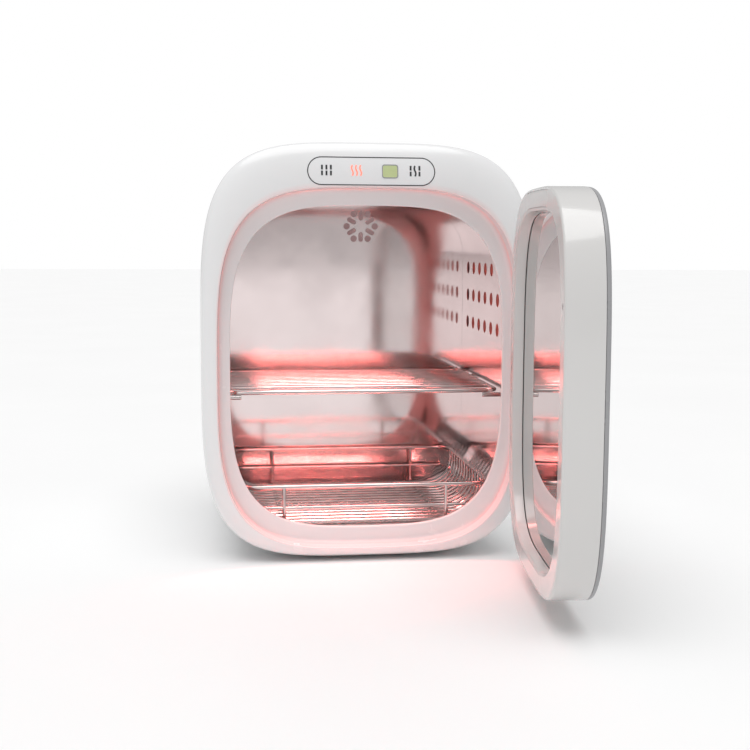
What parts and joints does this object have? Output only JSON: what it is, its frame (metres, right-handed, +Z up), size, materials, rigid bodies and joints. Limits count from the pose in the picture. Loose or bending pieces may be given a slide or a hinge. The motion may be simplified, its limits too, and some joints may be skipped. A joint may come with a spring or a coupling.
{
  "type": "bottle sterilizer",
  "caption": "Countertop cabinet that sterilizes and dries feeding bottles: lit mirror-steel chamber with wire shelf and basket behind a deep side-hinged door.",
  "frame": {"origin": "centre of the footprint, door open as at rest, at the underside of the feet", "axes": "+X to the right seen from the front, +Y from the front into the cabinet, +Z up"},
  "size_m": [0.3376, 0.607, 0.412],
  "materials": {
    "white_plastic": "gloss moulding",
    "pearl_plastic": "fine matte moulding",
    "grey_trim": "gloss moulding",
    "inner_grey": "satin moulding",
    "polished_steel": "mirror-polished stainless sheet",
    "steel_wire": "bright stainless wire",
    "mirror_pane": "tinted glass with a mirror coat",
    "rubber": "matte",
    "overlay_film": "printed film",
    "display_lens": "clear lens over a lit display",
    "circuit_board": "solder mask",
    "dark_moulding": "matte",
    "lamp_glass": "clear quartz glass",
    "heater_glass": "red glass",
    "zinc_plate": "zinc plated",
    "nickel_plate": "nickel plated"
  },
  "bodies": {
    "cabinet": {"air_duct": "pearl_plastic", "casing_shell": "white_plastic", "catch_plate_bottom": "zinc_plate", "catch_plate_top": "zinc_plate", "chamber_back": "polished_steel", "chamber_wrap": "polished_steel", "control_overlay": "overlay_film", "fan_housing": "dark_moulding", "fan_motor": "zinc_plate", "foot_front_left": "rubber", "foot_front_right": "rubber", "foot_rear_left": "rubber", "foot_rear_right": "rubber", "front_bezel": "white_plastic", "heater_lamp": "heater_glass", "hinge_bracket_lower": "zinc_plate", "hinge_bracket_upper": "zinc_plate", "hinge_pin_lower": "steel_wire", "hinge_pin_upper": "steel_wire", "ion_generator": "dark_moulding", "lamp_ballast": "dark_moulding", "lamp_reflector": "zinc_plate", "lamp_socket_left": "dark_moulding", "lamp_socket_right": "dark_moulding", "lcd_module": "dark_moulding", "lcd_window": "display_lens", "main_board": "circuit_board", "power_inlet": "dark_moulding", "rear_cover": "pearl_plastic", "rear_screw_lower_left": "zinc_plate", "rear_screw_lower_right": "zinc_plate", "rear_screw_upper_left": "zinc_plate", "rear_screw_upper_right": "zinc_plate", "reed_switch": "dark_moulding", "shelf_peg_front_left": "steel_wire", "shelf_peg_front_right": "steel_wire", "shelf_peg_rear_left": "steel_wire", "shelf_peg_rear_right": "steel_wire", "touch_board": "circuit_board", "uv_lamp_front": "lamp_glass", "uv_lamp_rear": "lamp_glass"},
    "door": {"door_frame": "white_plastic", "door_mirror": "mirror_pane", "door_inner_bezel": "inner_grey", "door_glass": "mirror_pane", "door_outer_cover": "grey_trim", "door_top_insert": "inner_grey", "door_bottom_insert": "inner_grey", "door_magnet_top": "nickel_plate", "door_magnet_bottom": "nickel_plate", "door_sensor_magnet": "nickel_plate", "hinge_arm_upper": "zinc_plate", "hinge_arm_lower": "zinc_plate"},
    "shelf": {"wire_shelf": "steel_wire"},
    "basket": {"basket_floor": "steel_wire", "basket_side_left": "steel_wire", "basket_side_right": "steel_wire", "basket_end_front": "steel_wire", "basket_end_rear": "steel_wire"},
    "impeller": {"fan_impeller": "pearl_plastic"}
  },
  "joints": [
    {"name": "door_hinge", "type": "hinge", "parent": "cabinet", "child": "door", "pos_m": [0.15221, -0.00455, 0.1916], "axis": [0, 0, 1], "range_deg": [-84.15, 10.85]},
    {"name": "shelf_slide", "type": "slide", "parent": "cabinet", "child": "shelf", "axis": [0, -1, 0], "range_m": [0, 0.03]},
    {"name": "basket_lift", "type": "slide", "parent": "cabinet", "child": "basket", "axis": [0, 0, 1], "range_m": [0, 0.075]},
    {"name": "impeller_spin", "type": "hinge", "parent": "cabinet", "child": "impeller", "pos_m": [0.01921, 0.27345, 0.3341], "axis": [0, 1, 0], "continuous": true}
  ]
}
